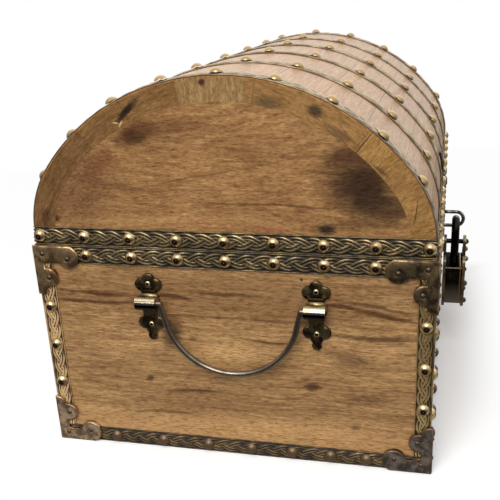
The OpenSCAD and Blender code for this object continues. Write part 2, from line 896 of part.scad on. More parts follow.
module staple_plate() {
  color(bronze) difference() {
    translate([0, -board_w, staple_level]) rotate([90, 0, 0]) linear_extrude(leaf_t) {
      square([staple_plate_w, 2 * (staple_pin_out - 1)], center = true);
      for (side = [-1, 1]) translate([0, side * (staple_pin_out - 1)]) circle(d = staple_plate_w);
    }
    staple_legs(staple_d / 2 + fit_gap);
    each_staple_pin() pin_hole();
  }
}

// Lid ends: a board inside a rim of blocks
module lid_end_board() {
  translate([-board_l + lid_end_t / 2, 0, 0]) difference() {
    along_x(lid_end_t) arch_area(strip_t + rim_w, lid_z);
    translate([board_l - lid_end_t / 2, 0, 0]) lid_holes();
  }
}

module lid_end_rim() {
  for (i = [0 : len(rim_joints) - 2]) difference() {
    translate([-board_l + lid_end_t / 2, 0, 0]) along_x(lid_end_t) intersection() {
      arch_ring(strip_t, strip_t + rim_w);
      arch_slice(-rim_joints[i + 1] * side_len, -rim_joints[i] * side_len);
    }
    lid_holes();
  }
}

module lid_left_end() {
  color(wood) lid_end_board();
}

module lid_right_end() {
  color(wood) mirror([1, 0, 0]) lid_end_board();
}

module lid_left_rim() {
  color(rim_wood) lid_end_rim();
}

module lid_right_rim() {
  color(rim_wood) mirror([1, 0, 0]) lid_end_rim();
}

// Staves from end to end, side by side round the arch
module lid_staves() {
  stave_w = 2 * side_len / stave_count;
  color(rim_wood) for (i = [0 : stave_count - 1]) difference() {
    along_x(2 * (board_l - lid_end_t)) intersection() {
      arch_ring(strip_t, strip_t + stave_t);
      arch_slice(i * stave_w - side_len, (i + 1) * stave_w - side_len);
    }
    lid_holes();
  }
}

// Strap over the arch, down to the lid's band
module strap(i) {
  color(braid) difference() {
    translate([i * strap_pitch - strap_end_x, 0, 0]) along_x(strap_w) intersection() {
      arch_ring(0, strip_t);
      translate([-chest_w, strap_base_z]) square([2 * chest_w, chest_w]);
    }
    lid_holes();
  }
}

module lid_nails() {
  color(nail_gold) each_lid_nail() nail();
}

module lid_pins() {
  color(nail_gold) each_lid_pin() pin();
}

// Hasp: a plate on the lid, and a fork that hangs over the staple
module hasp_plate() {
  bottom = hasp_axis_z + hasp_knuckle_r + fit_gap;
  color(bronze) difference() {
    union() {
      along_x(hasp_plate_w) intersection() {
        arch_ring(strip_t - leaf_t, strip_t);
        translate([-chest_w, bottom]) square([chest_w, hasp_plate_h]);
      }
      for (x0 = [-fork_w / 2, fork_w / 2 - hasp_knuckle_l + fit_gap]) {
        translate([x0, -board_w - leaf_t, hasp_axis_z])
          cube([hasp_knuckle_l - fit_gap, leaf_t, hasp_knuckle_r + fit_gap + 1]);
        knuckle(x0, hasp_knuckle_l - fit_gap, -hasp_axis_y, hasp_axis_z, hasp_knuckle_r);
      }
    }
    translate([-fork_w, -hasp_axis_y, hasp_axis_z]) rotate([0, 90, 0])
      cylinder(2 * fork_w, r = hasp_pin_r + pin_play);
    lid_holes();
  }
}

module hasp_pin() {
  color(steel) translate([-fork_w / 2, -hasp_axis_y, hasp_axis_z]) rotate([0, 90, 0])
    cylinder(fork_w, r = hasp_pin_r);
}

module hasp_fork() {
  top = hasp_axis_z - hasp_knuckle_r - fit_gap;
  color(bronze) difference() {
    union() {
      translate([-fork_w / 2, -fork_back - fork_t, fork_tip_level])
        cube([fork_w, fork_t, top - fork_tip_level]);
      translate([-hasp_knuckle_l / 2, -fork_back - fork_t, top - 1])
        cube([hasp_knuckle_l, fork_t, hasp_axis_z - top + 1]);
      knuckle(-hasp_knuckle_l / 2, hasp_knuckle_l, -hasp_axis_y, hasp_axis_z, hasp_knuckle_r);
    }
    translate([-fork_w, -hasp_axis_y, hasp_axis_z]) rotate([0, 90, 0])
      cylinder(2 * fork_w, r = hasp_pin_r + pin_play);
    translate([-slot_w / 2, -fork_back - fork_t - 1, fork_tip_level - 1])
      cube([slot_w, fork_t + 2, slot_top_z - fork_tip_level + 1]);
  }
}

// Hanging lock: shackle through the staple, case between two plates
module shackle_legs(r, top, bottom) {
  for (side = [-1, 1])
    translate([side * shackle_span / 2, lock_y, bottom]) cylinder(top - bottom, r = r);
}

module shackle() {
  color(steel) {
    shackle_legs(shackle_d / 2, shackle_bend_z, shackle_end_z);
    translate([-shackle_crown / 2, lock_y, swing_z]) rotate([0, 90, 0])
      cylinder(shackle_crown, d = shackle_d);
    for (side = [0, 1]) mirror([side, 0, 0])
      translate([shackle_crown / 2, lock_y, shackle_bend_z]) rotate([90, 0, 0])
        rotate_extrude(angle = 90) translate([shackle_bend_r, 0]) circle(d = shackle_d);
  }
}

// Outline of the case in X and Z: straight sides over a round foot
module case_outline(grow) {
  translate([0, case_round_z]) circle(case_w / 2 + grow, $fn = 96);
  translate([-case_w / 2 - grow, case_round_z])
    square([case_w + 2 * grow, case_top_level + grow - case_round_z]);
}

module plate_outline() {
  case_outline(plate_lip);
  for (side = [-1, 1]) translate([side * lock_shoulder_x, case_top_level + 2]) circle(lock_shoulder_r);
  translate([-ear_r, case_top_level]) square([2 * ear_r, spacer_level - case_top_level]);
  translate([0, spacer_level]) circle(ear_r);
}

module keyhole() {
  translate([0, case_round_z + 1]) circle(keyhole_r);
  translate([-0.4 * keyhole_r, case_round_z + 1 - keyhole_l]) square([0.8 * keyhole_r, keyhole_l]);
}

// Slab in X and Z whose outer face lies at distance out from the shackle's plane, toward -Y
module lock_slab(out, thickness) {
  translate([0, lock_y - out + thickness, 0]) rotate([90, 0, 0]) linear_extrude(thickness) children();
}

module lock_case() {
  color(dark_iron) difference() {
    lock_slab(case_t / 2, case_t) case_outline(0);
    shackle_legs(shackle_d / 2 + fit_gap, case_top_level + 1, shackle_end_z - fit_gap);
    lock_slab(case_t / 2 + 1, case_t / 2) keyhole();
  }
}

module each_rivet() {
  for (p = rivet_spots)
    translate([p[0], lock_y - case_t / 2 - lock_plate_t, p[1]]) rotate([90, 0, 0]) children();
}

module lock_front_plate() {
  color(bronze) difference() {
    lock_slab(case_t / 2 + lock_plate_t, lock_plate_t) difference() {
      plate_outline();
      keyhole();
    }
    each_rivet() translate([0, 0, -lock_plate_t - 1])
      cylinder(lock_plate_t + 2, d = rivet_shank_d + 2 * hole_gap);
  }
}

module lock_back_plate() {
  color(bronze) lock_slab(-case_t / 2, lock_plate_t) plate_outline();
}

module lock_spacer() {
  color(steel) translate([0, lock_y + case_t / 2, spacer_level]) rotate([90, 0, 0])
    cylinder(case_t, r = spacer_r);
}

module lock_rivets() {
  color(nail_gold) each_rivet() headed(rivet_d, rivet_h, rivet_shank_d, lock_plate_t);
}

base_floor();
base_front_board();
base_back_board();
base_left_board();
base_right_board();
upper_band();
foot_band();
corner_strip_front_left();
corner_strip_front_right();
corner_strip_back_left();
corner_strip_back_right();
top_bracket_front_left();
top_bracket_front_right();
top_bracket_back_left();
top_bracket_back_right();
foot_bracket_front_left();
foot_bracket_front_right();
foot_bracket_back_left();
foot_bracket_back_right();
base_nails();
base_pins();
left_mount_front();
left_mount_back();
right_mount_front();
right_mount_back();
left_bail();
right_bail();
base_hinge_leaf_left();
base_hinge_leaf_right();
hinge_pin_left();
hinge_pin_right();
staple_plate();
staple();
lid_left_end();
lid_right_end();
lid_left_rim();
lid_right_rim();
lid_staves();
lid_band();
strap(0);  // strap_1
strap(1);  // strap_2
strap(2);  // strap_3
strap(3);  // strap_4
strap(4);  // strap_5
strap(5);  // strap_6
lid_nails();
lid_pins();
lid_hinge_leaf_left();
lid_hinge_leaf_right();
hasp_plate();
hasp_pin();
hasp_fork();
shackle();
lock_case();
lock_front_plate();
lock_back_plate();
lock_spacer();
lock_rivets();
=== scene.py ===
import math
import bmesh
import bpy
import numpy as np
from mathutils import Matrix, Vector


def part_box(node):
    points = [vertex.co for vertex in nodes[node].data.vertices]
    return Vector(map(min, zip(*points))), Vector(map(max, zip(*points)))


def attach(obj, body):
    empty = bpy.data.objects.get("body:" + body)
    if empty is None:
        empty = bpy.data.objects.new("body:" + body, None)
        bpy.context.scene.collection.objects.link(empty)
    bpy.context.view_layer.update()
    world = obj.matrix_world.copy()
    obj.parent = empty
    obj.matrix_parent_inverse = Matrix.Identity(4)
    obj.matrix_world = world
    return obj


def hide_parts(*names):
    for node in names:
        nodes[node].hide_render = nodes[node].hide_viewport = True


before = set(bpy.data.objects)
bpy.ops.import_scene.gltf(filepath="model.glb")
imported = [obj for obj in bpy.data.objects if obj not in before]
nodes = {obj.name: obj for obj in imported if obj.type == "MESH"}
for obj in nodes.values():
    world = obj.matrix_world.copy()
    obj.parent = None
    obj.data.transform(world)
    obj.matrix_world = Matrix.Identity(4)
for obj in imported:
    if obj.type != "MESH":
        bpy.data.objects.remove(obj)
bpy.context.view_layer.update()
scene = bpy.context.scene

# Camera
# Stands where the photograph was taken: off the left end, a little toward the front and above the lid. Its
# place, angles, lens and shift come from the edges of the chest in the photograph.
camera_place = Vector((-0.6994, -0.152, 0.3477))
azimuth, elevation, roll = (math.radians(turn) for turn in (13.64, 20.93, -2.33))
level_part = math.cos(elevation)
ahead = Vector((level_part * math.cos(azimuth), level_part * math.sin(azimuth), -math.sin(elevation)))
right = ahead.cross(Vector((0, 0, 1))).normalized()
up = right.cross(ahead)
across = math.cos(roll) * right + math.sin(roll) * up
upright = math.cos(roll) * up - math.sin(roll) * right
lens = bpy.data.cameras.new("camera")
lens.sensor_width = 36
lens.lens = 54.68
lens.shift_x = -0.039
lens.shift_y = 0.0502
camera = bpy.data.objects.new("camera", lens)
scene.collection.objects.link(camera)
camera_turn = Matrix((across, upright, -ahead)).transposed().to_4x4()
camera.matrix_world = Matrix.Translation(camera_place) @ camera_turn
scene.camera = camera
scene.view_settings.view_transform = "Standard"


# Floor, backdrop and light
# A plain pale floor that keeps the soft shadow and fades to white, under an even studio sky that is dark
# only where the camera stands, and one large soft lamp above the left end, toward the back.
def tint(code):
    """Linear colour of a written one"""
    parts = [int(code[i:i + 2], 16) / 255 for i in (0, 2, 4)]
    return tuple(c / 12.92 if c <= 0.04045 else ((c + 0.055) / 1.055) ** 2.4 for c in parts) + (1,)


def add(tree, kind, inputs=(), **settings):
    """A node with its settings, and values or other nodes' sockets in its inputs"""
    node = tree.nodes.new(kind)
    for key, value in settings.items():
        setattr(node, key, value)
    for key, value in dict(inputs).items():
        if isinstance(value, bpy.types.NodeSocket):
            tree.links.new(value, node.inputs[key])
        else:
            node.inputs[key].default_value = value
    return node


def calc(tree, operation, *values):
    """Arithmetic on values or sockets"""
    return add(tree, "ShaderNodeMath", enumerate(values), operation=operation).outputs[0]


def vector(tree, operation, *values):
    """Arithmetic on vectors"""
    return add(tree, "ShaderNodeVectorMath", enumerate(values), operation=operation)


def split(tree, value):
    """A vector's X, Y and Z"""
    return add(tree, "ShaderNodeSeparateXYZ", {0: value}).outputs


def rise(tree, value, low, high, bottom=0.0, top=1.0):
    """Smooth step from bottom at low to top at high"""
    inputs = {0: value, 1: low, 2: high, 3: bottom, 4: top}
    return add(tree, "ShaderNodeMapRange", inputs, interpolation_type="SMOOTHSTEP").outputs[0]


def blend(tree, share, first, second, how="MIX"):
    """One colour over another"""
    inputs = {0: share, 6: first, 7: second}
    return add(tree, "ShaderNodeMix", inputs, data_type="RGBA", blend_type=how).outputs[2]


def own_place(tree):
    """Place on the object, in its own coordinates"""
    return add(tree, "ShaderNodeTexCoord").outputs["Object"]


def material(name):
    """A new material, its tree and its surface shader"""
    made = bpy.data.materials.new(name)
    made.use_nodes = True
    return made, made.node_tree, made.node_tree.nodes["Principled BSDF"]


floor_radius = 4
floor_mesh = bpy.data.meshes.new("floor")
floor_shape = bmesh.new()
bmesh.ops.create_circle(floor_shape, cap_ends=True, segments=64, radius=floor_radius)
floor_shape.to_mesh(floor_mesh)
floor_shape.free()
floor = bpy.data.objects.new("floor", floor_mesh)
scene.collection.objects.link(floor)

# The camera sees bare white past the shadow's reach and far away, and what the metal mirrors of the floor
# past the left end is a dark room
white = (1, 1, 1, 1)
floor_grey = (0.54, 0.54, 0.54, 1)
floor_glow = 0.16
foot_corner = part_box("foot_band")[1]
shadow_x, shadow_y = foot_corner.x, foot_corner.y + 0.005
shadow_core, shadow_reach, shadow_loss = 0.012, 0.065, 0.9
fade_start, fade_end = 0.5, 1.1
room_glow, room_start, room_end = 0.03, -0.24, -0.34
paper, tree, surface = material("floor_paper")
surface.inputs["Roughness"].default_value = 1
surface.inputs["Specular IOR Level"].default_value = 0
rays = add(tree, "ShaderNodeLightPath").outputs
seen = rays["Is Camera Ray"]
tree.links.new(blend(tree, seen, floor_grey, white), surface.inputs["Base Color"])
glow_strength = calc(tree, "MULTIPLY", seen, floor_glow)
glow = add(tree, "ShaderNodeEmission", {"Color": white, "Strength": glow_strength})
lit = add(tree, "ShaderNodeAddShader", {0: surface.outputs[0], 1: glow.outputs[0]})
bare_white = add(tree, "ShaderNodeEmission", {"Color": white, "Strength": 1.0})
spot = own_place(tree)
radius = vector(tree, "LENGTH", spot).outputs["Value"]
part = split(tree, spot)
past_end = calc(tree, "SUBTRACT", calc(tree, "ABSOLUTE", part["X"]), shadow_x)
past_side = calc(tree, "SUBTRACT", calc(tree, "ABSOLUTE", part["Y"]), shadow_y)
past_both = calc(tree, "MAXIMUM", past_end, past_side)
off = rise(tree, past_both, shadow_core, shadow_reach, top=shadow_loss)
fade = calc(tree, "MULTIPLY", seen, calc(tree, "MAXIMUM", off, rise(tree, radius, fade_start, fade_end)))
faded = add(tree, "ShaderNodeMixShader", {0: fade, 1: lit.outputs[0], 2: bare_white.outputs[0]})
room = add(tree, "ShaderNodeEmission", {"Color": white, "Strength": room_glow})
gone = calc(tree, "MULTIPLY", rays["Is Glossy Ray"], rise(tree, part["X"], room_start, room_end))
ending = add(tree, "ShaderNodeMixShader", {0: gone, 1: faded.outputs[0], 2: room.outputs[0]})
tree.links.new(ending.outputs[0], tree.nodes["Material Output"].inputs["Surface"])
floor_mesh.materials.append(paper)

even_light = 0.45
toward_camera, toward_back = (-0.97, 0.1, -0.2), (0.93, 0.0, 0.36)
studio = bpy.data.worlds.new("studio")
scene.world = studio
studio.use_nodes = True
tree = studio.node_tree
tree.nodes.clear()
rays = add(tree, "ShaderNodeLightPath").outputs
way = add(tree, "ShaderNodeTexCoord").outputs["Generated"]
sky = rise(tree, split(tree, way)["Z"], -0.1, 0.75, bottom=0.42, top=1.05)
facing = vector(tree, "DOT_PRODUCT", way, toward_camera).outputs["Value"]
dark = rise(tree, facing, 0.42, 0.78, bottom=1.0, top=0.03)
behind = vector(tree, "DOT_PRODUCT", way, toward_back).outputs["Value"]
window = rise(tree, behind, 0.35, 0.9, top=0.75)
mirrored = calc(tree, "ADD", calc(tree, "MULTIPLY", sky, dark), window)
gain = calc(tree, "MULTIPLY", rays["Is Glossy Ray"], calc(tree, "SUBTRACT", mirrored, even_light))
level = calc(tree, "ADD", gain, even_light)
to_white = calc(tree, "MULTIPLY", rays["Is Camera Ray"], calc(tree, "SUBTRACT", 1.0, level))
shown = calc(tree, "ADD", to_white, level)
background = add(tree, "ShaderNodeBackground", {"Color": white, "Strength": shown})
add(tree, "ShaderNodeOutputWorld", {"Surface": background.outputs[0]})

lamp = bpy.data.lights.new("key", "AREA")
lamp.size = 1.3
lamp.energy = 39
key_lamp = bpy.data.objects.new("key", lamp)
scene.collection.objects.link(key_lamp)
key_lamp.location = (-1.68, 0.1, 1.6)
lamp_aim = Vector((0, 0, 0.15))
key_lamp.rotation_euler = (lamp_aim - key_lamp.location).to_track_quat("-Z", "Y").to_euler()


# Boards of the base's ends
# Stained and varnished hardwood with the grain lying across the end, each board set between the long ones.
# The left board has a dark double streak under the band, knots and stains as photographed, a pale foot, and
# a dark smudge by the bail that is partly a burn and partly a painted shadow of the bail.
def noise(tree, place, scale, detail=3.0, rough=0.5):
    """Cloudy values, and cloudy colours after them"""
    inputs = {"Vector": place, "Scale": scale, "Detail": detail, "Roughness": rough}
    return add(tree, "ShaderNodeTexNoise", inputs).outputs


def ramp(tree, share, *stops, how="LINEAR"):
    """Colours along a value"""
    node = add(tree, "ShaderNodeValToRGB", {0: share})
    band = node.color_ramp
    band.interpolation = how
    while len(band.elements) < len(stops):
        band.elements.new(0.5)
    for element, (place, colour) in zip(band.elements, stops):
        element.position = place
        element.color = tint(colour) if isinstance(colour, str) else (colour, colour, colour, 1)
    return node.outputs[0]


def mixed(tree, *shares):
    """Sum of values, each times its share"""
    total = 0.0
    for value, share in shares:
        total = calc(tree, "MULTIPLY_ADD", value, share, total)
    return total


def stained_and_shadowed(tree, colour, place, torn, stain_and_shadow):
    """A colour with a mark over it, mostly a stain but in one place partly a painted shadow, whose edge is
    ragged where torn is uneven
    """
    centre, radii, mark_colour, strength, lean = stain_and_shadow
    if lean:
        inputs = {"Vector": place, "Center": centre, "Angle": -lean}
        place = add(tree, "ShaderNodeVectorRotate", inputs, rotation_type="X_AXIS").outputs[0]
    scale = tuple(1 / r for r in radii)
    offset = tuple(-c / r for c, r in zip(centre, radii))
    reach = vector(tree, "MULTIPLY_ADD", place, scale, offset).outputs[0]
    far = calc(tree, "ADD", torn, vector(tree, "LENGTH", reach).outputs["Value"])
    return blend(tree, rise(tree, far, 1.5, 0.75, top=strength), colour, tint(mark_colour))


def connect(tree, surface, links):
    """Joins values to the surface shader's inputs of those names"""
    for key, value in links.items():
        tree.links.new(value, surface.inputs[key])


def wood(name, tones, stretch, marks=(), place=None, gloss=0.4, sheen=0.0, gleam=0.3, bumps=0.6,
         patches=0.2, dashes=0.6, lines=0.5, ragged=1.0):
    """Stained and varnished wood: tones run from dark to light, and stretch makes the grain long along one
    axis. Patches, dashes and lines say how much clouds, pores and drawn lines show, ragged how torn the
    marks' edges are, and place gives other coordinates, with their stretch and a shade over the tones"""
    made, tree, surface = material(name)
    spot = own_place(tree)
    shade = None
    if place:
        spot, stretch, shade = place(tree, spot)
    wander, crossing = 0.012, 0.12
    swirl = noise(tree, spot, scale=11, detail=2)[1]
    drift = vector(tree, "SUBTRACT", swirl, (0.5, 0.5, 0.5)).outputs[0]
    bent = vector(tree, "MULTIPLY_ADD", drift, (wander,) * 3, spot).outputs[0]
    grain = vector(tree, "MULTIPLY", bent, stretch).outputs[0]
    long_grain = vector(tree, "MULTIPLY", grain, stretch).outputs[0]
    along = vector(tree, "SCALE", grain)
    along.inputs["Scale"].default_value = 1 - crossing
    short_grain = vector(tree, "MULTIPLY_ADD", bent, (crossing,) * 3, along.outputs[0]).outputs[0]
    bands = noise(tree, grain, scale=38, rough=0.55)[0]
    streaks = noise(tree, grain, scale=380, detail=4, rough=0.65)[0]
    fibre = noise(tree, short_grain, scale=900, rough=0.65)[0]
    clouds = noise(tree, bent, scale=26, detail=4, rough=0.6)[0]
    drawn = noise(tree, long_grain, scale=420, detail=2)[0]
    pores = noise(tree, short_grain, scale=1000, detail=2, rough=0.6)[0]
    tone = mixed(tree, (bands, 0.3 - patches / 2), (streaks, 0.7 - patches / 2), (clouds, patches))
    tone_start, tone_span = 0.38, 0.24 / (len(tones) - 1)
    colour = ramp(tree, tone, *[(tone_start + tone_span * i, code) for i, code in enumerate(tones)])
    if shade:
        colour = blend(tree, 1.0, colour, shade, "MULTIPLY")
    torn = mixed(tree, (clouds, 0.9 * (1 - ragged)), (streaks, 0.6 * ragged), (fibre, 0.3 * ragged))
    for stain_and_shadow in marks:
        colour = stained_and_shadowed(tree, colour, bent, torn, stain_and_shadow)
    fibre_tone = ramp(tree, fibre, (0.3, 0.7), (0.5, 1.08), (0.7, 1.36))
    colour = blend(tree, 1.0, colour, fibre_tone, "MULTIPLY")
    deep = blend(tree, 1.0, colour, (0.52, 0.40, 0.28, 1), "MULTIPLY")
    drawn_lines = rise(tree, drawn, 0.58, 0.68, top=lines)
    pore_dashes = rise(tree, pores, 0.53, 0.62, top=dashes)
    colour = blend(tree, calc(tree, "MAXIMUM", drawn_lines, pore_dashes), colour, deep)
    relief = {"Height": calc(tree, "ADD", fibre, streaks), "Distance": 0.0002, "Strength": bumps}
    links = {
        "Base Color": colour,
        "Roughness": calc(tree, "MULTIPLY_ADD", fibre, 0.25, gloss - 0.12),
        "Normal": add(tree, "ShaderNodeBump", relief).outputs[0],
    }
    connect(tree, surface, links)
    surface.inputs["Specular IOR Level"].default_value = gleam
    surface.inputs["Coat Weight"].default_value = sheen
    surface.inputs["Coat Roughness"].default_value = 0.22
    return made


def finish(made, *names):
    """Gives CAD nodes their material"""
    for name in names:
        for slot in nodes[name].material_slots:
            slot.material = made


left_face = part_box("base_left_board")[0].x


def mark(y, z, half_width, half_height, mark_colour, strength, lean=0.0, depth=0.02):
    """A mark on the left end, mostly a stain but in one place partly a painted shadow: its middle and reach,
    its colour, how much it covers and how it leans
    """
    return (left_face, y, z), (depth, half_width, half_height), mark_colour, strength, lean


base_marks = [
    mark(0.0, 0.0150, 0.22, 0.0260, "c49863", 0.55, depth=0.03),
    mark(0.0, 0.1360, 0.24, 0.0270, "7b5836", 0.55, depth=0.03),
    mark(0.030, 0.0440, 0.09, 0.0200, "855f3c", 0.5, depth=0.03),
    mark(0.100, 0.1325, 0.044, 0.0027, "57361f", 0.95),
    mark(0.106, 0.1256, 0.054, 0.0020, "5d3c25", 0.95, -0.02),
    mark(0.043, 0.1318, 0.022, 0.0030, "57361f", 0.95, 0.12),
    mark(0.002, 0.1362, 0.032, 0.0020, "5f4025", 0.9, -0.02),
    mark(-0.078, 0.1325, 0.020, 0.0026, "57361f", 0.95, 0.03),
    mark(-0.104, 0.1328, 0.040, 0.0020, "63432a", 0.9, 0.15),
    mark(-0.110, 0.1268, 0.040, 0.0026, "57381f", 0.95, 0.18),
    mark(0.000, 0.1180, 0.070, 0.0018, "6b4d30", 0.75),
    mark(-0.112, 0.1090, 0.045, 0.0034, "5e4429", 0.85),
    mark(-0.030, 0.1010, 0.034, 0.0015, "60462c", 0.85, 0.05),
    # Partly a burn and partly a painted shadow of the bail
    mark(0.046, 0.1020, 0.011, 0.020, "563f28", 0.85, 0.35),
    mark(0.0290, 0.1000, 0.0045, 0.0030, "55391f", 0.6),
    mark(0.002, 0.0890, 0.034, 0.0115, "c29a66", 0.7),
    mark(0.0693, 0.0624, 0.0042, 0.0036, "4a3a22", 0.9),
    mark(-0.0624, 0.0640, 0.0085, 0.0048, "4d311c", 0.9),
    mark(-0.0570, 0.0715, 0.0065, 0.0030, "6b4d30", 0.6),
    mark(-0.0941, 0.0306, 0.0050, 0.0032, "5d4027", 0.7),
    mark(-0.1020, 0.0580, 0.024, 0.0070, "66492e", 0.7),
    mark(-0.0910, 0.0915, 0.020, 0.0070, "66492e", 0.7),
    mark(0.036, 0.0528, 0.030, 0.0017, "5a4129", 0.9, -0.05),
    mark(0.060, 0.0330, 0.040, 0.0018, "6b4d30", 0.8, -0.03),
    mark(0.010, 0.0390, 0.034, 0.0013, "6b4d30", 0.7),
    mark(-0.0545, 0.1517, 0.0016, 0.0016, "2a1a10", 1.0),
]
base_tones = ("84603c", "947048", "a27d50", "b28c5c")
grain_along_y = (1, 0.06, 1)
end_wood = wood("wood_base_end", base_tones, grain_along_y, base_marks, patches=0.12, dashes=0.65, lines=0.6)
finish(end_wood, "base_left_board", "base_right_board")

# Long boards and floor of the base
# The front and back boards and the floor panel are of the same wood and stain as the ends, with the grain
# lying along the chest, and carry none of the marks.
grain_along_x = (0.06, 1, 1)
long_wood = wood("wood_base_long", base_tones, grain_along_x)
finish(long_wood, "base_front_board", "base_back_board", "base_floor")

# Boards of the lid's ends
# A slightly darker board inside the rim, with fine wavy figure: burnt brown toward the front, reddish at the
# back, and with a paler, redder edge just over the band. The marks lie on the left board.
lid_marks = [
    mark(0.040, 0.1915, 0.12, 0.0060, "a98253", 0.5),
    mark(0.108, 0.2200, 0.050, 0.044, "6a462b", 0.6),
    mark(-0.094, 0.227, 0.034, 0.034, "51351d", 0.7),
    mark(-0.100, 0.220, 0.025, 0.024, "2c1b0e", 0.85),
    mark(-0.114, 0.206, 0.028, 0.015, "2f1d10", 0.75),
    mark(0.061, 0.2545, 0.021, 0.0105, "41240f", 0.9, -0.4),
    mark(0.038, 0.2620, 0.042, 0.008, "6a4526", 0.65),
    mark(0.090, 0.2320, 0.022, 0.010, "6c3f22", 0.6, -0.7),
    mark(-0.0757, 0.1905, 0.0105, 0.0055, "33261a", 1.0),
    mark(-0.0860, 0.2410, 0.018, 0.009, "4c2f1b", 0.8),
    mark(-0.0980, 0.1945, 0.032, 0.006, "573a22", 0.6),
    mark(-0.033, 0.1868, 0.024, 0.0022, "8f5238", 0.65),
    mark(0.018, 0.1885, 0.032, 0.0018, "965a38", 0.7),
    mark(-0.030, 0.2050, 0.08, 0.0013, "5a3a20", 0.7),
    mark(0.020, 0.2250, 0.06, 0.0012, "6b4627", 0.6, -0.2),
    mark(-0.020, 0.2450, 0.04, 0.0012, "6b4627", 0.6, 0.1),
    mark(0.1335, 0.1930, 0.0080, 0.0050, "3f2715", 0.9),
]
lid_tones = ("795432", "8a633b", "987145", "a88252")
wavy_grain = (1, 0.15, 1)
lid_wood = wood("wood_lid_end", lid_tones, wavy_grain, lid_marks, dashes=0.55, lines=0.3, ragged=0.25)
finish(lid_wood, "lid_left_end", "lid_right_end")

# Rims of the lid's ends
# Five blocks on each end, glued end to end round the arch, each cut from other wood. Those in front and on
# top are paler, and in the top one and the lowest in front the grain runs outward. The marks lie on the left
# rim, and one of them is a dark line like a sixth joint.
arch_centre_z = 0.1275
crown_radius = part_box("lid_left_rim")[1].z - arch_centre_z
rim_middle = crown_radius - 0.008


def round_arch(tree, spot):
    """Coordinates that follow the arch (depth, arc, radius), each block's grain, and its tone"""
    part = split(tree, spot)
    drop = calc(tree, "SUBTRACT", part["Z"], arch_centre_z)
    angle = calc(tree, "ARCTAN2", part["Y"], drop)
    squares = calc(tree, "ADD", calc(tree, "POWER", part["Y"], 2.0), calc(tree, "POWER", drop, 2.0))
    far = calc(tree, "SQRT", squares)
    arc = calc(tree, "MULTIPLY", angle, rim_middle)
    round_spot = add(tree, "ShaderNodeCombineXYZ", {0: part["X"], 1: arc, 2: far}).outputs[0]
    share = calc(tree, "MULTIPLY_ADD", angle, 1 / math.pi, 0.5)
    # Joints between the blocks, and changes within two of them, as shares of the way from front to back
    front, top_front, top_back, back = 0.28, 0.459, 0.553, 0.714
    in_foot, in_shoulder = 0.165, 0.36
    grain_out = ramp(tree, share, (0, 1.0), (front, 0.0), (top_front, 1.0), (top_back, 0.0), how="CONSTANT")
    stretch = blend(tree, grain_out, (1, 0.16, 1, 1), (1, 1, 0.22, 1))
    tones = ramp(tree, share, (0, "e6e0d6"), (in_foot, "f2eee6"), (front, "e4ddda"), (in_shoulder, "dcd4d0"),
                 (top_front, "e6ecff"), (top_back, "c3b9b4"), (back, "b0a7a6"), how="CONSTANT")
    outer_edge = rise(tree, far, crown_radius - 0.0009, crown_radius - 0.0002)
    return round_spot, stretch, blend(tree, outer_edge, tones, (1.1, 0.8, 0.6, 1))


rim_marks = [
    mark(0.0665, 0.1567, 0.0180, 0.0034, "2c1c0f", 1.0, -0.34),
    mark(0.0785, 0.1532, 0.0034, 0.0009, "c9a873", 0.9, 0.6),
    mark(0.0752, 0.1508, 0.0034, 0.0009, "c9a873", 0.9, -0.5),
    mark(0.010, 0.1600, 0.0030, 0.0028, "48261a", 1.0),
    mark(-0.0695, 0.1592, 0.0080, 0.0056, "35281a", 0.9),
    mark(-0.036, 0.1515, 0.014, 0.006, "54402a", 0.75),
    mark(0.178, 0.1520, 0.012, 0.005, "4d311d", 0.85),
    mark(0.090, 0.1560, 0.018, 0.010, "6b4a2b", 0.5),
    mark(-0.090, 0.1510, 0.014, 0.007, "64462d", 0.7),
    mark(-0.1087, 0.1570, 0.0007, 0.0200, "3a2917", 0.85),
    mark(-0.1676, 0.1525, 0.0120, 0.0006, "3a2917", 0.8, 0.65),
    mark(-0.1300, 0.1500, 0.010, 0.0020, "4c361f", 0.7),
]
rim_tones = ("8a663c", "98733f", "a57f4b", "b38d58")
rim_wood = wood("wood_rim", rim_tones, stretch=None, marks=rim_marks, place=round_arch, patches=0.3,
                dashes=0.4, lines=0.3, ragged=0.4)
finish(rim_wood, "lid_left_rim", "lid_right_rim")

# Staves of the lid
# Pale varnished boards laid side by side round the arch, from rim to rim, with the grain along the chest.
# The varnish catches the light at a low angle.
stave_tones = ("a07445", "af8150", "bb8f5a", "c79d65")
stave_wood = wood("wood_staves", stave_tones, grain_along_x, gloss=0.45, sheen=0.2, gleam=0.5, bumps=0.25,
                  dashes=0.3)
finish(stave_wood, "lid_staves")

# Braided bands round the box
# Pressed brass strip, 14 mm wide with a plait of three ribbed strands, nailed round the box over and under
# the seam and, narrower, round the foot. The upper two stop at the hinges, and the lid's at the hasp. One
# period of the plait is a stamp of rows, and each row of a line of stamps moves to its row of a path.
rows = 48
period = 0.0354
strip = 0.002
clearance = 0.0003
band_width = 0.014
box_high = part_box("upper_band")[1]
half_x, half_y = box_high.x - strip, box_high.y - strip


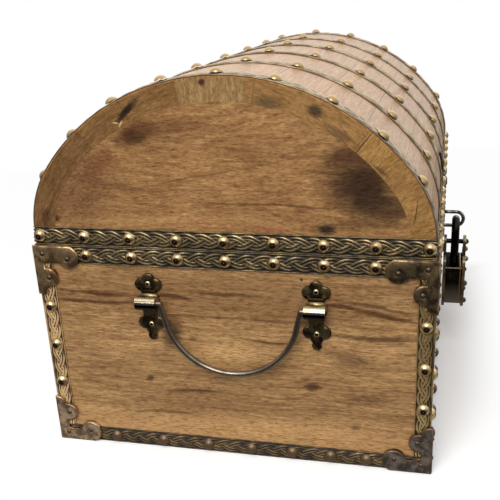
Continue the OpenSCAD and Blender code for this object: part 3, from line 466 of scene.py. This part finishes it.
def stamp(name, width, folded=False):
    """One period of the plait: rows in X, across in Y, height in Z; folded has one edge at full height.
    The heights of its ground, its beaded edges and its ribs are worked out in millimetres"""
    columns, strands, bead_width = 29, 3, 0.0008
    ground, bead, full, fold_slope = 0.2, 0.95, 1.98, 900
    swing, half_strand = 0.255 * width, 0.178 * width
    across = np.linspace(-width / 2, width / 2, columns)
    phase = 2 * np.pi * (np.arange(rows + 1)[:, None, None] / rows + np.arange(strands) / strands)
    lean = 1 / np.sqrt(1 + (swing * 2 * np.pi / period * np.cos(phase)) ** 2)
    off = (across[None, :, None] - swing * np.sin(phase)) * lean / half_strand
    on_strand = np.abs(off) < 1
    crest = 0.5 - 0.5 * np.cos(2 * np.pi * off)
    over = np.sin(2 * phase)
    ribbed = 0.5 + 0.25 * (1 - off ** 2) + 0.6 * crest + 0.32 * over
    ribbed = np.where(on_strand, ribbed, ground)
    tall = ribbed.max(axis=2)
    shine = np.where(on_strand, crest, 0) * (0.72 + 0.28 * over)
    rubbed = np.take_along_axis(shine, ribbed.argmax(axis=2)[..., None], 2)[..., 0]
    on_bead = width / 2 - np.abs(across) < bead_width
    tall = np.maximum(tall, np.where(on_bead, bead, 0))
    rubbed = np.maximum(rubbed, np.where(on_bead, 0.5, 0))
    if folded:
        tall = np.maximum(tall, full - fold_slope * (width / 2 - across))
    points, worn = [], []
    for r in range(rows + 1):
        for c in range(columns):
            points.append((r, across[c], tall[r, c] / 1000))
            worn.append(float(rubbed[r, c]))
        points += [(r, width / 2, 0), (r, -width / 2, 0)]
        worn += [0, 0]
    ring = columns + 2
    faces = [(r * ring + c, r * ring + (c + 1) % ring, (r + 1) * ring + (c + 1) % ring, (r + 1) * ring + c)
             for r in range(rows) for c in range(ring)]
    mesh = bpy.data.meshes.new(name)
    mesh.from_pydata(points, [], faces)
    mesh.attributes.new("worn", "FLOAT", "POINT").data.foreach_set("value", worn)
    made = bpy.data.objects.new(name, mesh)
    scene.collection.objects.link(made)
    return made


def laying_tree():
    """Lays stamps along a path: instances on points, realized, then each row moved to the path's row"""
    tree = bpy.data.node_groups.new("laid_stamps", "GeometryNodeTree")
    ports = tree.interface
    ports.new_socket("Geometry", in_out="OUTPUT", socket_type="NodeSocketGeometry")
    for name, kind in (("Stamp", "Object"), ("Path", "Object"), ("Count", "Int"), ("Metal", "Material")):
        ports.new_socket(name, in_out="INPUT", socket_type="NodeSocket" + kind)
    given = add(tree, "NodeGroupInput").outputs
    one = add(tree, "GeometryNodeObjectInfo", {"Object": given["Stamp"]}).outputs["Geometry"]
    path = add(tree, "GeometryNodeObjectInfo", {"Object": given["Path"]}).outputs["Geometry"]
    line = add(tree, "GeometryNodeMeshLine", {"Count": given["Count"], "Offset": (0, 0, 0)}).outputs[0]
    many = add(tree, "GeometryNodeInstanceOnPoints", {"Points": line, "Instance": one}).outputs[0]
    number = add(tree, "GeometryNodeInputIndex").outputs[0]
    counted = {"Geometry": many, "Name": "turn", "Value": number}
    marked = add(tree, "GeometryNodeStoreNamedAttribute", counted, data_type="INT",
                 domain="INSTANCE").outputs[0]
    real = add(tree, "GeometryNodeRealizeInstances", {0: marked}).outputs[0]
    part = split(tree, add(tree, "GeometryNodeInputPosition").outputs[0])
    turn = add(tree, "GeometryNodeInputNamedAttribute", {"Name": "turn"}, data_type="INT").outputs[0]
    row = calc(tree, "ROUND", calc(tree, "MULTIPLY_ADD", turn, float(rows), part["X"]))

    vectors = "FLOAT_VECTOR"

    def sample(value):
        """The path's value at this point's row"""
        inputs = {"Geometry": path, "Value": value, "Index": row}
        return add(tree, "GeometryNodeSampleIndex", inputs, data_type=vectors, domain="POINT").outputs[0]

    place = sample(add(tree, "GeometryNodeInputPosition").outputs[0])
    for name, amount in (("side", part["Y"]), ("out", part["Z"])):
        way = add(tree, "GeometryNodeInputNamedAttribute", {"Name": name}, data_type=vectors).outputs[0]
        step = vector(tree, "SCALE", sample(way))
        tree.links.new(amount, step.inputs["Scale"])
        place = vector(tree, "ADD", place, step.outputs[0]).outputs[0]
    moved = add(tree, "GeometryNodeSetPosition", {"Geometry": real, "Position": place}).outputs[0]
    joined = add(tree, "GeometryNodeMergeByDistance", {"Geometry": moved, "Distance": 0.00001}).outputs[0]
    smooth = add(tree, "GeometryNodeSetShadeSmooth", {"Geometry": joined}).outputs[0]
    done = add(tree, "GeometryNodeSetMaterial", {"Geometry": smooth, "Material": given["Metal"]}).outputs[0]
    add(tree, "NodeGroupOutput", {"Geometry": done})
    return tree


laying = laying_tree()
socket = {item.name: item.identifier for item in laying.interface.items_tree if item.in_out == "INPUT"}


def stand_in(kind, name, shape, body, coat):
    """Makes a shape the piece that stands for the CAD node of that name, and returns its mesh"""
    mesh = bpy.data.meshes.new(f"{kind}_{name}")
    shape.to_mesh(mesh)
    shape.free()
    mesh.materials.clear()
    mesh.materials.append(coat)
    made = bpy.data.objects.new(f"{kind}_{name}", mesh)
    scene.collection.objects.link(made)
    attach(made, body)
    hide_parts(name)
    return mesh


def laid(name, body, pattern, paths, coat):
    """A piece of braided strip, which stands for the CAD node of that name"""
    shape = bmesh.new()
    for places, outs, sides in paths:
        line = bpy.data.meshes.new("path")
        line.from_pydata([tuple(p) for p in places], [], [])
        for key, values in (("out", outs), ("side", sides)):
            line.attributes.new(key, "FLOAT_VECTOR", "POINT").data.foreach_set("vector", np.ravel(values))
        guide = bpy.data.objects.new("path", line)
        host = bpy.data.objects.new("host", bpy.data.meshes.new("host"))
        for one in (guide, host):
            scene.collection.objects.link(one)
        step = host.modifiers.new("laid", "NODES")
        step.node_group = laying
        step[socket["Stamp"]] = pattern
        step[socket["Path"]] = guide
        step[socket["Count"]] = (len(places) - 1) // rows
        step[socket["Metal"]] = coat
        graph = bpy.context.evaluated_depsgraph_get()
        shape.from_mesh(bpy.data.meshes.new_from_object(host.evaluated_get(graph)))
        for one in (guide, host):
            bpy.data.objects.remove(one)
    bmesh.ops.holes_fill(shape, edges=shape.edges, sides=0)
    bmesh.ops.recalc_face_normals(shape, faces=shape.faces)
    stand_in("braid", name, shape, body, coat)


def repeated(value, count):
    """A vector for each of a path's points, alike at all of them"""
    return np.tile(value, (count + 1, 1))


def plan_path(corners, height):
    """Path round the box at one height; a corner's row leans out both ways, which mitres it"""
    ends = np.array(corners, float)
    steps = np.diff(ends, axis=0)
    lengths = np.hypot(*steps.T)
    total = max(1, round(lengths.sum() / period)) * rows
    marks = np.round(np.concatenate([[0], np.cumsum(lengths)]) / lengths.sum() * total).astype(int)
    normals = np.stack([steps[:, 1], -steps[:, 0]], 1) / lengths[:, None]
    middle = (ends[:-1] + ends[1:]) / 2
    normals *= np.sign((normals * middle).sum(1))[:, None]
    places, outs = np.zeros((total + 1, 3)), np.zeros((total + 1, 3))
    places[:, 2] = height
    for i, (a, b) in enumerate(zip(marks[:-1], marks[1:])):
        places[a:b + 1, :2] = ends[i] + np.linspace(0, 1, b - a + 1)[:, None] * steps[i]
        outs[a:b + 1, :2] = normals[i]
    for i, m in enumerate(marks[1:-1]):
        outs[m, :2] = normals[i] + normals[i + 1]
    if np.allclose(ends[0], ends[-1]):
        outs[[0, -1], :2] = normals[0] + normals[-1]
    return places, outs, repeated((0.0, 0.0, 1.0), total)


def braid_metal(name, bright, dark, low, high, rubbing=0.0, metallic=0.6):
    """Pressed brass: bright on the strands' ribs, black in the grooves, rubbed off in patches"""
    made, tree, surface = material(name)
    worn = add(tree, "ShaderNodeAttribute", attribute_name="worn").outputs["Fac"]
    clouds = noise(tree, own_place(tree), scale=70, detail=4, rough=0.6)[0]
    rub = calc(tree, "MULTIPLY_ADD", calc(tree, "SUBTRACT", clouds, 0.5 - rubbing), 1.3, worn)
    share = rise(tree, rub, low, high)
    links = {
        "Base Color": blend(tree, share, tint(dark), tint(bright)),
        "Roughness": calc(tree, "MULTIPLY_ADD", share, -0.2, 0.58),
        "Metallic": calc(tree, "MULTIPLY_ADD", share, 0.35, metallic),
    }
    connect(tree, surface, links)
    return made


hinge_low, hinge_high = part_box("base_hinge_leaf_right")
inner, outer = hinge_low.x - clearance, hinge_high.x + clearance
hasp_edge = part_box("hasp_plate")[1].x + clearance
front_left, back_left = (-half_x, -half_y), (-half_x, half_y)
front_right, back_right = (half_x, -half_y), (half_x, half_y)
between_hinges = [(-inner, half_y), (inner, half_y)]
past_hinges = [(-outer, half_y), back_left, front_left, front_right, back_right, (outer, half_y)]
left_of_hasp = [(-hasp_edge, -half_y), front_left, back_left, (-outer, half_y)]
right_of_hasp = [(-x, y) for x, y in left_of_hasp]
whole_round = [front_left, front_right, back_right, back_left, front_left]

band_stamp = stamp("stamp_wide", band_width)
band_coat = braid_metal("aged_braid", "b49c71", "261f16", 0.15, 0.95)
upper_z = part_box("upper_band")[0].z + band_width / 2
lid_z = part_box("lid_band")[0].z + band_width / 2
upper_paths = [plan_path(corners, upper_z) for corners in (past_hinges, between_hinges)]
lid_paths = [plan_path(corners, lid_z) for corners in (left_of_hasp, right_of_hasp, between_hinges)]
laid("upper_band", "base", band_stamp, upper_paths, band_coat)
laid("lid_band", "lid", band_stamp, lid_paths, band_coat)

foot_low, foot_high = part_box("foot_band")
foot_stamp = stamp("stamp_foot", foot_high.z - foot_low.z)
foot_coat = braid_metal("foot_braid", "a88c5e", "3a3129", 0.35, 0.95)
laid("foot_band", "base", foot_stamp, [plan_path(whole_round, (foot_low.z + foot_high.z) / 2)], foot_coat)
for one in (band_stamp, foot_stamp):
    bpy.data.objects.remove(one)

# Braided strips on the corners
# The same strip folded along its length over each upright corner of the base, so each corner has a leg on
# the end and a leg on the long side, nailed. Hands have rubbed the left one at the back to bare brass.
corner_width = 0.0125
leg_x = half_x + strip - corner_width / 2
leg_y = half_y + strip - corner_width / 2
corner_stamp = stamp("stamp_corner", corner_width, folded=True)
rubbed_coat = braid_metal("rubbed_braid", "e3bd84", "4a341d", 0.22, 0.7, rubbing=0.07, metallic=0.0)
corner_coat = braid_metal("corner_braid", "e6c488", "40311d", 0.15, 0.8, rubbing=0.04)
for side, along in (("front", -1.0), ("back", 1.0)):
    for hand, outward in (("left", -1.0), ("right", 1.0)):
        name = f"corner_strip_{side}_{hand}"
        low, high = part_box(name)
        count = max(1, round((high.z - low.z) / period)) * rows
        end_way, side_way = (outward, 0, 0), (0, along, 0)
        on_end = (outward * half_x, along * leg_y, end_way, side_way)
        on_side = (outward * leg_x, along * half_y, side_way, end_way)
        paths = []
        for x, y, out, sideways in (on_end, on_side):
            places = np.linspace((x, y, low.z), (x, y, high.z), count + 1)
            paths.append((places, repeated(out, count), repeated(sideways, count)))
        coat = rubbed_coat if name == "corner_strip_back_left" else corner_coat
        laid(name, "base", corner_stamp, paths, coat)
bpy.data.objects.remove(corner_stamp)

# Straps of the lid
# Six braided strips, 13 mm wide, bent over the arch from one side of the lid to the other and nailed to the
# rims and staves. The arch is a wide arc at the crown and a tighter one down each shoulder.
strap_width = 0.013
shoulder_y, shoulder_z = 0.07, 0.18
shoulder_rise = shoulder_z - arch_centre_z
shoulder_radius = crown_radius - math.hypot(shoulder_y, shoulder_rise)
crown_angle = math.atan2(shoulder_y, shoulder_rise)
crown_arc = crown_radius * crown_angle


def on_arch(arc):
    """A point (y, z) at a distance along the arch from its top, and the way out from there"""
    far = abs(arc)
    if far < crown_arc:
        turn = far / crown_radius
        y, z = crown_radius * math.sin(turn), arch_centre_z + crown_radius * math.cos(turn)
    else:
        turn = crown_angle + (far - crown_arc) / shoulder_radius
        y, z = shoulder_y + shoulder_radius * math.sin(turn), shoulder_z + shoulder_radius * math.cos(turn)
    return (math.copysign(y, arc), z), (math.copysign(math.sin(turn), arc), math.cos(turn))


strap_stamp = stamp("stamp_strap", strap_width)
strap_coat = braid_metal("strap_braid", "b8a68a", "5f5040", 0.1, 0.8)
for number in range(1, 7):
    low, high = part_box(f"strap_{number}")
    end_angle = math.acos((low.z - shoulder_z) / shoulder_radius)
    half_length = crown_arc + shoulder_radius * (end_angle - crown_angle)
    count = round(2 * half_length / period) * rows
    places, outs = np.zeros((count + 1, 3)), np.zeros((count + 1, 3))
    places[:, 0] = (low.x + high.x) / 2
    for row, arc in enumerate(np.linspace(-half_length, half_length, count + 1)):
        places[row, 1:], outs[row, 1:] = on_arch(arc)
    path = (places, outs, repeated((1.0, 0, 0), count))
    laid(f"strap_{number}", "lid", strap_stamp, [path], strap_coat)
bpy.data.objects.remove(strap_stamp)


# Dome nails
# Stamped brass nails with domed heads, driven through the bands, strips and straps into the wood. Those on
# upright faces have a dark reflection painted on their crowns, and those at the foot are dull all over.
def metal(name, bright, dark, low, high, fineness, rough, dents=0.35):
    """Aged metal: dark where its cloudy patches are under low, and bright where they are over high"""
    made, tree, surface = material(name)
    spot = own_place(tree)
    clouds = noise(tree, spot, scale=fineness, detail=4, rough=0.6)[0]
    fine = noise(tree, spot, scale=fineness * 6, detail=2)[0]
    share = rise(tree, clouds, low, high)
    polished = calc(tree, "MULTIPLY_ADD", share, -0.12, rough)
    relief = {"Height": clouds, "Distance": 0.0002, "Strength": dents}
    links = {
        "Base Color": blend(tree, share, tint(dark), tint(bright)),
        "Roughness": calc(tree, "MULTIPLY_ADD", fine, 0.2, polished),
        "Normal": add(tree, "ShaderNodeBump", relief).outputs[0],
    }
    connect(tree, surface, links)
    surface.inputs["Metallic"].default_value = 1
    return made


def lay_tone_and_light(made, colour, where, rough):
    """Lays a colour and a roughness over part of a metal, a real tone in some places and painted light or
    shade in others: where(tree, part) gives the share by place
    """
    tree = made.node_tree
    surface = tree.nodes["Principled BSDF"]
    share = where(tree, split(tree, own_place(tree)))
    for key, over in (("Base Color", tint(colour)), ("Roughness", (rough, rough, rough, 1))):
        before = surface.inputs[key].links[0].from_socket
        tree.links.new(blend(tree, share, before, over), surface.inputs[key])


def between(axis, low=-1.0, high=1.0):
    """Share that is 1 between two values of a coordinate, which are past the chest if they aren't given"""
    def share(tree, part):
        over = calc(tree, "GREATER_THAN", part[axis], low)
        under = calc(tree, "LESS_THAN", part[axis], high)
        return calc(tree, "MULTIPLY", over, under)
    return share


foot_nails_top, upright_top = 0.02, 0.19


def on_crowns(tree, part):
    """Share that is 1 in the middle of the nails that sit on upright faces, where a dark reflection is
    painted
    """
    way = split(tree, add(tree, "ShaderNodeTexCoord").outputs["Normal"])
    outward = calc(tree, "MAXIMUM", calc(tree, "ABSOLUTE", way["X"]), calc(tree, "ABSOLUTE", way["Y"]))
    lowered = calc(tree, "MULTIPLY_ADD", way["Z"], -0.05, outward)
    crown, upright = rise(tree, lowered, 0.8, 0.95), calc(tree, "LESS_THAN", part["Z"], upright_top)
    return calc(tree, "MULTIPLY", crown, upright)


painted_dark_reflection, foot_brown, strap_gold = "2a2016", "75604a", "b4986f"
base_gold, lid_gold = (metal(name, "d6ba8a", "94795a", 0.35, 0.52, fineness=90, rough=0.3, dents=0.2)
                       for name in ("gold_nails", "gold_nails_lid"))
# The crowns of nails on upright faces get a painted dark reflection of the room where the camera stands
lay_tone_and_light(base_gold, painted_dark_reflection, on_crowns, 0.7)
lay_tone_and_light(base_gold, foot_brown, between("Z", high=foot_nails_top), 0.5)
finish(base_gold, "base_nails")
lay_tone_and_light(lid_gold, strap_gold, between("Z", low=upright_top), 0.3)
lay_tone_and_light(lid_gold, painted_dark_reflection, on_crowns, 0.7)
finish(lid_gold, "lid_nails")


# Corner brackets
# Thin bronze plates pressed in a die and folded round a corner, four under the seam and four at the foot.
# Their faces stand a little proud inside a narrow rim, whose wear shows copper. They are held by pins.
def pressed(name, coat, rim, lift):
    """A plate whose faces stand proud by lift inside a rim, which stands for the CAD node of that name"""
    weld, flat, smallest_face, bins_per_metre = 0.000002, 0.999, 0.00015, 20000
    shape = bmesh.new()
    shape.from_mesh(nodes[name].data)
    bmesh.ops.remove_doubles(shape, verts=shape.verts, dist=weld)
    shape.normal_update()
    rim_layer = shape.faces.layers.float.new("rim")
    for axis in (0, 1):
        sides = {}
        for face in shape.faces:
            facing, off = face.normal[axis], face.calc_center_median()[axis]
            if abs(facing) > flat and facing * off > 0:
                sides.setdefault(round(off * bins_per_metre), []).append(face)
        for faces in sides.values():
            if sum(face.calc_area() for face in faces) > smallest_face:
                edging = bmesh.ops.inset_region(shape, faces=faces, thickness=rim, depth=lift,
                                                use_boundary=True, use_even_offset=True)
                for face in edging["faces"]:
                    face[rim_layer] = 1.0
    bmesh.ops.recalc_face_normals(shape, faces=shape.faces)
    mesh = stand_in("pressed", name, shape, "base", coat)
    mesh.shade_smooth()
    mesh.set_sharp_from_angle(angle=math.radians(50))


def tint_rim(made, colour, strength):
    """Tints a pressed plate's narrow rim"""
    tree = made.node_tree
    base = tree.nodes["Principled BSDF"].inputs["Base Color"]
    rim = add(tree, "ShaderNodeAttribute", attribute_name="rim").outputs["Fac"]
    share = calc(tree, "MULTIPLY", rim, strength)
    tree.links.new(blend(tree, share, base.links[0].from_socket, tint(colour)), base)


bracket_rim, bracket_lift, copper = 0.0011, 0.0005, "7e5a3c"
# Bright and dark tones, and how coppery the rim is
bracket_tones = {
    "top_bracket_front": ("a98f69", "4e4134", 0.3),
    "top_bracket_back": ("e4c08f", "7c6046", 0.3),
    "foot_bracket_front": ("897f74", "4e4842", 0.55),
    "foot_bracket_back": ("cbae8f", "7a6551", 0.55),
}
for pair, (bright, dark, copper_share) in bracket_tones.items():
    coat = metal("bronze_" + pair, bright, dark, 0.4, 0.6, fineness=100, rough=0.45)
    tint_rim(coat, copper, copper_share)
    for hand in ("left", "right"):
        pressed(f"{pair}_{hand}", coat, bracket_rim, bracket_lift)

# Handle mounts
# Two pressed plates on each end board, held by pins, that carry the handle in a barrel between two flat
# leaves. Blackened bronze, with highlights and reflections painted in lines along the barrel.
mount_rim, mount_lift = 0.0009, 0.0004
front_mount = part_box("left_mount_front")[0]
mount_foot = front_mount.z
# Highlights and reflections painted along the barrel: tones, and where they start and end above the mount's
# foot
painted_barrel_reflections = [
    ("cdc0a2", 0.0330, 0.0382),
    ("6b5c44", 0.0354, 0.0361),
    ("19150f", 0.0276, 0.0330),
    ("c9ab74", 0.0220, 0.0276),
    ("332a20", 0.0383, 0.0425),
]
mount_coat = metal("blackened_bronze", "917c59", "342b20", 0.42, 0.64, fineness=150, rough=0.4)
for colour, start, end in painted_barrel_reflections:
    lay_tone_and_light(mount_coat, colour, between("Z", mount_foot + start, mount_foot + end), 0.24)
tint_rim(mount_coat, "14100b", 0.35)
for hand in ("left", "right"):
    for side in ("front", "back"):
        pressed(f"{hand}_mount_{side}", mount_coat, mount_rim, mount_lift)

# Small pins
# Brass pins with small round heads, which hold the brackets, handle mounts, hinges, hasp and staple plate.
# They are dull in the corner brackets, and in the handle mounts each head has a painted reflection, a dark
# middle in a bright ring.
corner_x, corner_y = 0.16, 0.1
back_mount, back_mount_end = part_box("left_mount_back")
handle_y = (front_mount.y + back_mount_end.y) / 2
mount_reach = (back_mount.y - front_mount.y) / 2
pins_middle_z, pins_reach = mount_foot + 0.0295, 0.0165


def in_brackets(tree, part):
    """Share that is 1 near the corners, where the pins are in the brackets"""
    past_side = calc(tree, "GREATER_THAN", calc(tree, "ABSOLUTE", part["Y"]), corner_y)
    past_end = calc(tree, "GREATER_THAN", calc(tree, "ABSOLUTE", part["X"]), corner_x)
    return calc(tree, "MULTIPLY", past_side, past_end)


def in_mounts(radius):
    """Share that is 1 within a radius of the axes of the pins in the handle mounts"""
    def share(tree, part):
        away_y = calc(tree, "ABSOLUTE", calc(tree, "SUBTRACT", part["Y"], handle_y))
        away_z = calc(tree, "ABSOLUTE", calc(tree, "SUBTRACT", part["Z"], pins_middle_z))
        off_y = calc(tree, "SUBTRACT", away_y, mount_reach)
        off_z = calc(tree, "SUBTRACT", away_z, pins_reach)
        square_y, square_z = calc(tree, "MULTIPLY", off_y, off_y), calc(tree, "MULTIPLY", off_z, off_z)
        return calc(tree, "LESS_THAN", calc(tree, "ADD", square_y, square_z), radius ** 2)
    return share


head_radius, dark_radius = 0.0023, 0.00125
base_brass = metal("brass_pins", "bf9c68", "6d5433", 0.4, 0.6, fineness=300, rough=0.36)
lay_tone_and_light(base_brass, "5d5143", in_brackets, 0.45)
# A painted reflection on the heads in the handle mounts: a bright ring round a dark middle
lay_tone_and_light(base_brass, "e2c999", in_mounts(head_radius), 0.4)
lay_tone_and_light(base_brass, "17120d", in_mounts(dark_radius), 0.8)
finish(base_brass, "base_pins")
lid_brass = metal("brass_pins_lid", "8b7a60", "4f4335", 0.4, 0.6, fineness=300, rough=0.4)
finish(lid_brass, "lid_pins")

# Handles
# Bails bent from round steel bar, whose ends turn in the mounts' barrels. Worn smooth where a hand takes
# them, so their patches are wide and hardly dented.
bail_steel = metal("bail_steel", "958979", "695f54", 0.35, 0.65, fineness=45, rough=0.36, dents=0.05)
finish(bail_steel, "left_bail", "right_bail")

# Hinges
# Two at the back: bronze leaves on the base and the lid, held by pins, that turn on a forged steel pin
# through their barrels.
aged_bronze = metal("hinge_bronze", "66543a", "332a1f", 0.36, 0.72, fineness=150, rough=0.42)
forged_steel = metal("forged_steel", "8d867c", "3a352f", 0.4, 0.6, fineness=160, rough=0.34)
for hand in ("left", "right"):
    finish(aged_bronze, f"base_hinge_leaf_{hand}", f"lid_hinge_leaf_{hand}")
    finish(forged_steel, f"hinge_pin_{hand}")

# Hasp and staple
# The hasp's plate is pinned to the lid, and its forked end hangs from a steel pin over the staple, a bent
# steel bar set in a bronze plate on the base.
finish(aged_bronze, "hasp_plate", "hasp_fork", "staple_plate")
finish(forged_steel, "hasp_pin", "staple")

# Hanging lock
# A case of dark iron between two riveted plates of worn bronze, hung from the staple by its iron shackle.
# The case has a painted highlight along its upper edge, painted shade on its top face between the plates,
# painted light growing toward its foot, and a coppery line along its front, where it is rubbed.
iron = metal("lock_iron", "35302a", "120f0c", 0.42, 0.72, fineness=90, rough=0.22)
finish(iron, "shackle", "lock_spacer")

case_low, case_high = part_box("lock_case")
top_edge, bright_edge = case_high.z - 0.0003, case_high.z - 0.0014
pale_start, pale_end = case_high.z - 0.013, case_high.z - 0.037


def down_case(tree, part):
    """Share of painted light that grows from the upper part of the case to its foot"""
    return rise(tree, part["Z"], pale_start, pale_end, top=0.6)


case_iron = metal("lock_iron_case", "2c2722", "100d0a", 0.42, 0.72, fineness=90, rough=0.25)
# Painted shade on the case's top face, between the plates and under the shackle
lay_tone_and_light(case_iron, "0c0a08", between("Z", low=top_edge), 0.75)
# A painted highlight along the case's upper edge
lay_tone_and_light(case_iron, "e0cfae", between("Z", bright_edge, top_edge), 0.4)
# Painted light that grows toward the case's foot
lay_tone_and_light(case_iron, "9a917c", down_case, 0.5)
lay_tone_and_light(case_iron, "8f6d47", between("Y", case_low.y + 0.0012, case_low.y + 0.0022), 0.4)
finish(case_iron, "lock_case")

plate_bronze = metal("lock_bronze", "877a5f", "544a36", 0.32, 0.68, fineness=160, rough=0.42)
finish(plate_bronze, "lock_front_plate", "lock_back_plate")
rivet_bronze = metal("lock_bronze_rivets", "857b6b", "3a352d", 0.42, 0.62, fineness=160, rough=0.4)
finish(rivet_bronze, "lock_rivets")
